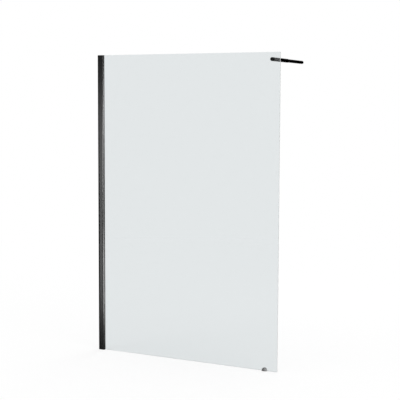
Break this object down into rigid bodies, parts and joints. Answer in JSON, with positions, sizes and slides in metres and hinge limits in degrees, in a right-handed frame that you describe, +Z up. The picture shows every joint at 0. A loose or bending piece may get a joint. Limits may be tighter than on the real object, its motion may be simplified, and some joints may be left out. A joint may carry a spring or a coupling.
{
  "type": "walk-in shower screen",
  "caption": "Fixed clear glass walk-in shower screen with a black adjustable wall profile, a telescopic stabiliser arm to the opposite wall and a small floor clip.",
  "frame": {"origin": "the wall, at floor level, on the middle plane of the glass: the lower end of the wall channel's back face", "axes": "+X along the glass away from the wall, +Y into the shower, the way the arm runs to the opposite wall, +Z up"},
  "size_m": [1.3, 0.5525, 2],
  "materials": {
    "black_aluminium": "satin black powder coat on extruded aluminium",
    "black_metal": "smooth black powder coat on steel",
    "black_plastic": "moulded black plastic, fine satin",
    "gasket": "matt black extruded gasket",
    "soft_liner": "matt dark grey rubber",
    "clear_glass": "clear toughened glass with polished edges",
    "clear_plastic": "translucent soft plastic",
    "steel": "turned stainless steel",
    "clip_metal": "satin grey metal"
  },
  "bodies": {
    "fixings": {"wall_channel": "black_aluminium", "channel_top_plug": "black_plastic", "floor_clip": "clip_metal", "clip_liner": "soft_liner", "clip_pinch_screws": "steel"},
    "panel": {"glazing_profile": "black_aluminium", "profile_top_cap": "black_plastic", "glazing_gasket": "gasket", "glass_panel": "clear_glass", "side_screws": "steel", "side_screw_cups": "black_plastic", "side_screw_caps": "black_plastic", "clamp_plates": "steel", "arm_button": "black_metal", "button_washer": "clear_plastic", "hole_bush": "clear_plastic", "arm_stud": "steel", "tube_washer": "clear_plastic", "tube_plug": "steel", "arm_outer_tube": "black_metal", "mouth_bush": "black_plastic", "lock_screw": "steel"},
    "arm_rod": {"arm_inner_rod": "black_metal", "rod_glide_plug": "black_plastic", "wall_stub": "steel", "stub_grub_screw": "steel"}
  },
  "joints": [
    {"name": "panel_adjust", "type": "slide", "parent": "fixings", "child": "panel", "axis": [1, 0, 0], "range_m": [-0.01, 0.005]},
    {"name": "arm_telescope", "type": "slide", "parent": "panel", "child": "arm_rod", "axis": [0, 1, 0], "range_m": [-0.03, 0.13]}
  ]
}
